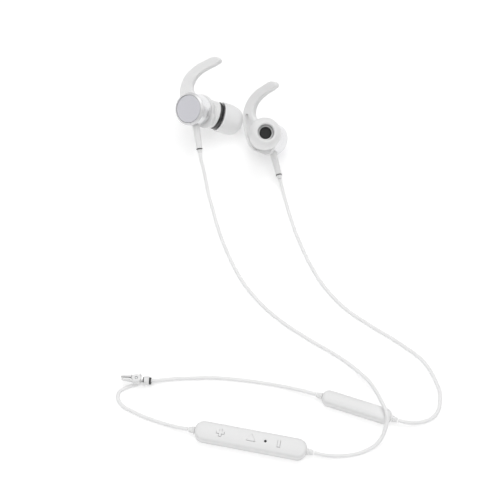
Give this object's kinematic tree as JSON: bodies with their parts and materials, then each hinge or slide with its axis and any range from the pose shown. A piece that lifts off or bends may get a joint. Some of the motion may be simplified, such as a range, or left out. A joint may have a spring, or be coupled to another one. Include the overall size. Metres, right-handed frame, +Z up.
{
  "type": "neckband earphones",
  "caption": "Wireless neckband earphones: two round metal earbuds with ear hooks and tips, joined by thin cords to a control pod, a battery pod and a small shirt clip.",
  "frame": {"origin": "middle of the control pod's underside, on the table", "axes": "+Z up from the table; +Y from the control pod towards the earbuds; +X from the control pod towards the battery pod"},
  "size_m": [0.1173, 0.1629, 0.0283],
  "materials": {
    "barrel_aluminium": "satin anodised, turned",
    "cap_aluminium": "fine turned, lilac grey",
    "white_plastic": "semi-gloss white",
    "white_silicone": "satin white silicone",
    "cord_rubber": "smooth white elastomer",
    "dark_collar": "near-black gloss",
    "dark_mesh": "fine black mesh",
    "grey_collar": "dark grey",
    "steel": "plain steel",
    "magnet_nickel": "nickel plated",
    "circuit_board": "green solder mask",
    "cell_foil": "pouch foil"
  },
  "bodies": {
    "earphones": {"left_barrel": "barrel_aluminium", "left_cap_disc": "cap_aluminium", "left_magnet": "magnet_nickel", "left_driver": "steel", "left_front_housing": "white_plastic", "left_nozzle_collar": "dark_collar", "left_nozzle_mesh": "dark_mesh", "left_eartip": "white_silicone", "left_strain_relief": "white_silicone", "left_relief_collar": "grey_collar", "right_barrel": "barrel_aluminium", "right_cap_disc": "cap_aluminium", "right_magnet": "magnet_nickel", "right_driver": "steel", "right_front_housing": "white_plastic", "right_nozzle_collar": "dark_collar", "right_nozzle_mesh": "dark_mesh", "right_eartip": "white_silicone", "right_strain_relief": "white_silicone", "right_relief_collar": "grey_collar", "control_top_cover": "white_plastic", "control_bottom_cover": "white_plastic", "circuit_board": "circuit_board", "switch_dome_plus": "steel", "switch_dome_play": "steel", "switch_dome_minus": "steel", "microphone": "steel", "microphone_screen": "dark_mesh", "radio_chip": "grey_collar", "status_light": "white_plastic", "usb_socket": "steel", "control_relief_neck": "white_silicone", "control_relief_left_bud": "white_silicone", "battery_top_cover": "white_plastic", "battery_bottom_cover": "white_plastic", "battery_cell": "cell_foil", "protection_board": "circuit_board", "battery_relief_neck": "white_silicone", "battery_relief_right_bud": "white_silicone", "clip_base": "white_plastic", "clip_pin": "steel", "clip_spring": "steel", "left_cord": "cord_rubber", "right_cord": "cord_rubber", "neck_cord": "cord_rubber"},
    "plus_key": {"button_plus": "white_plastic"},
    "play_key": {"button_play": "white_plastic"},
    "minus_key": {"button_minus": "white_plastic"},
    "charging_flap": {"usb_flap": "white_silicone"},
    "clip_jaw": {"clip_lever": "white_plastic"},
    "left_hook": {"left_ear_hook": "white_silicone"},
    "right_hook": {"right_ear_hook": "white_silicone"}
  },
  "joints": [
    {"name": "plus_key_press", "type": "slide", "parent": "earphones", "child": "plus_key", "axis": [0, 0, -1], "range_m": [0, 0.00025], "stiffness_N_per_m": 800, "springref_m": -0.0003},
    {"name": "play_key_press", "type": "slide", "parent": "earphones", "child": "play_key", "axis": [0, 0, -1], "range_m": [0, 0.00025], "stiffness_N_per_m": 800, "springref_m": -0.0003},
    {"name": "minus_key_press", "type": "slide", "parent": "earphones", "child": "minus_key", "axis": [0, 0, -1], "range_m": [0, 0.00025], "stiffness_N_per_m": 800, "springref_m": -0.0003},
    {"name": "charging_flap_hinge", "type": "hinge", "parent": "earphones", "child": "charging_flap", "pos_m": [-0.00832, 0.00537, 0.00245], "axis": [0, 0, 1], "range_deg": [0, 90]},
    {"name": "clip_jaw_pivot", "type": "hinge", "parent": "earphones", "child": "clip_jaw", "pos_m": [-0.0412, 0.023, 0.0034], "axis": [0, 0, -1], "range_deg": [0, 17], "stiffness_Nm_per_rad": 0.04, "springref_deg": -6.88},
    {"name": "left_hook_turn", "type": "hinge", "parent": "earphones", "child": "left_hook", "pos_m": [-0.0248, 0.1324, 0.0198], "axis": [0.4761, 0.4901, -0.7302], "range_deg": [-10, 10]},
    {"name": "right_hook_turn", "type": "hinge", "parent": "earphones", "child": "right_hook", "pos_m": [0.01, 0.1285, 0.0038], "axis": [-0.5542, -0.3391, 0.7602], "range_deg": [-10, 10]}
  ]
}
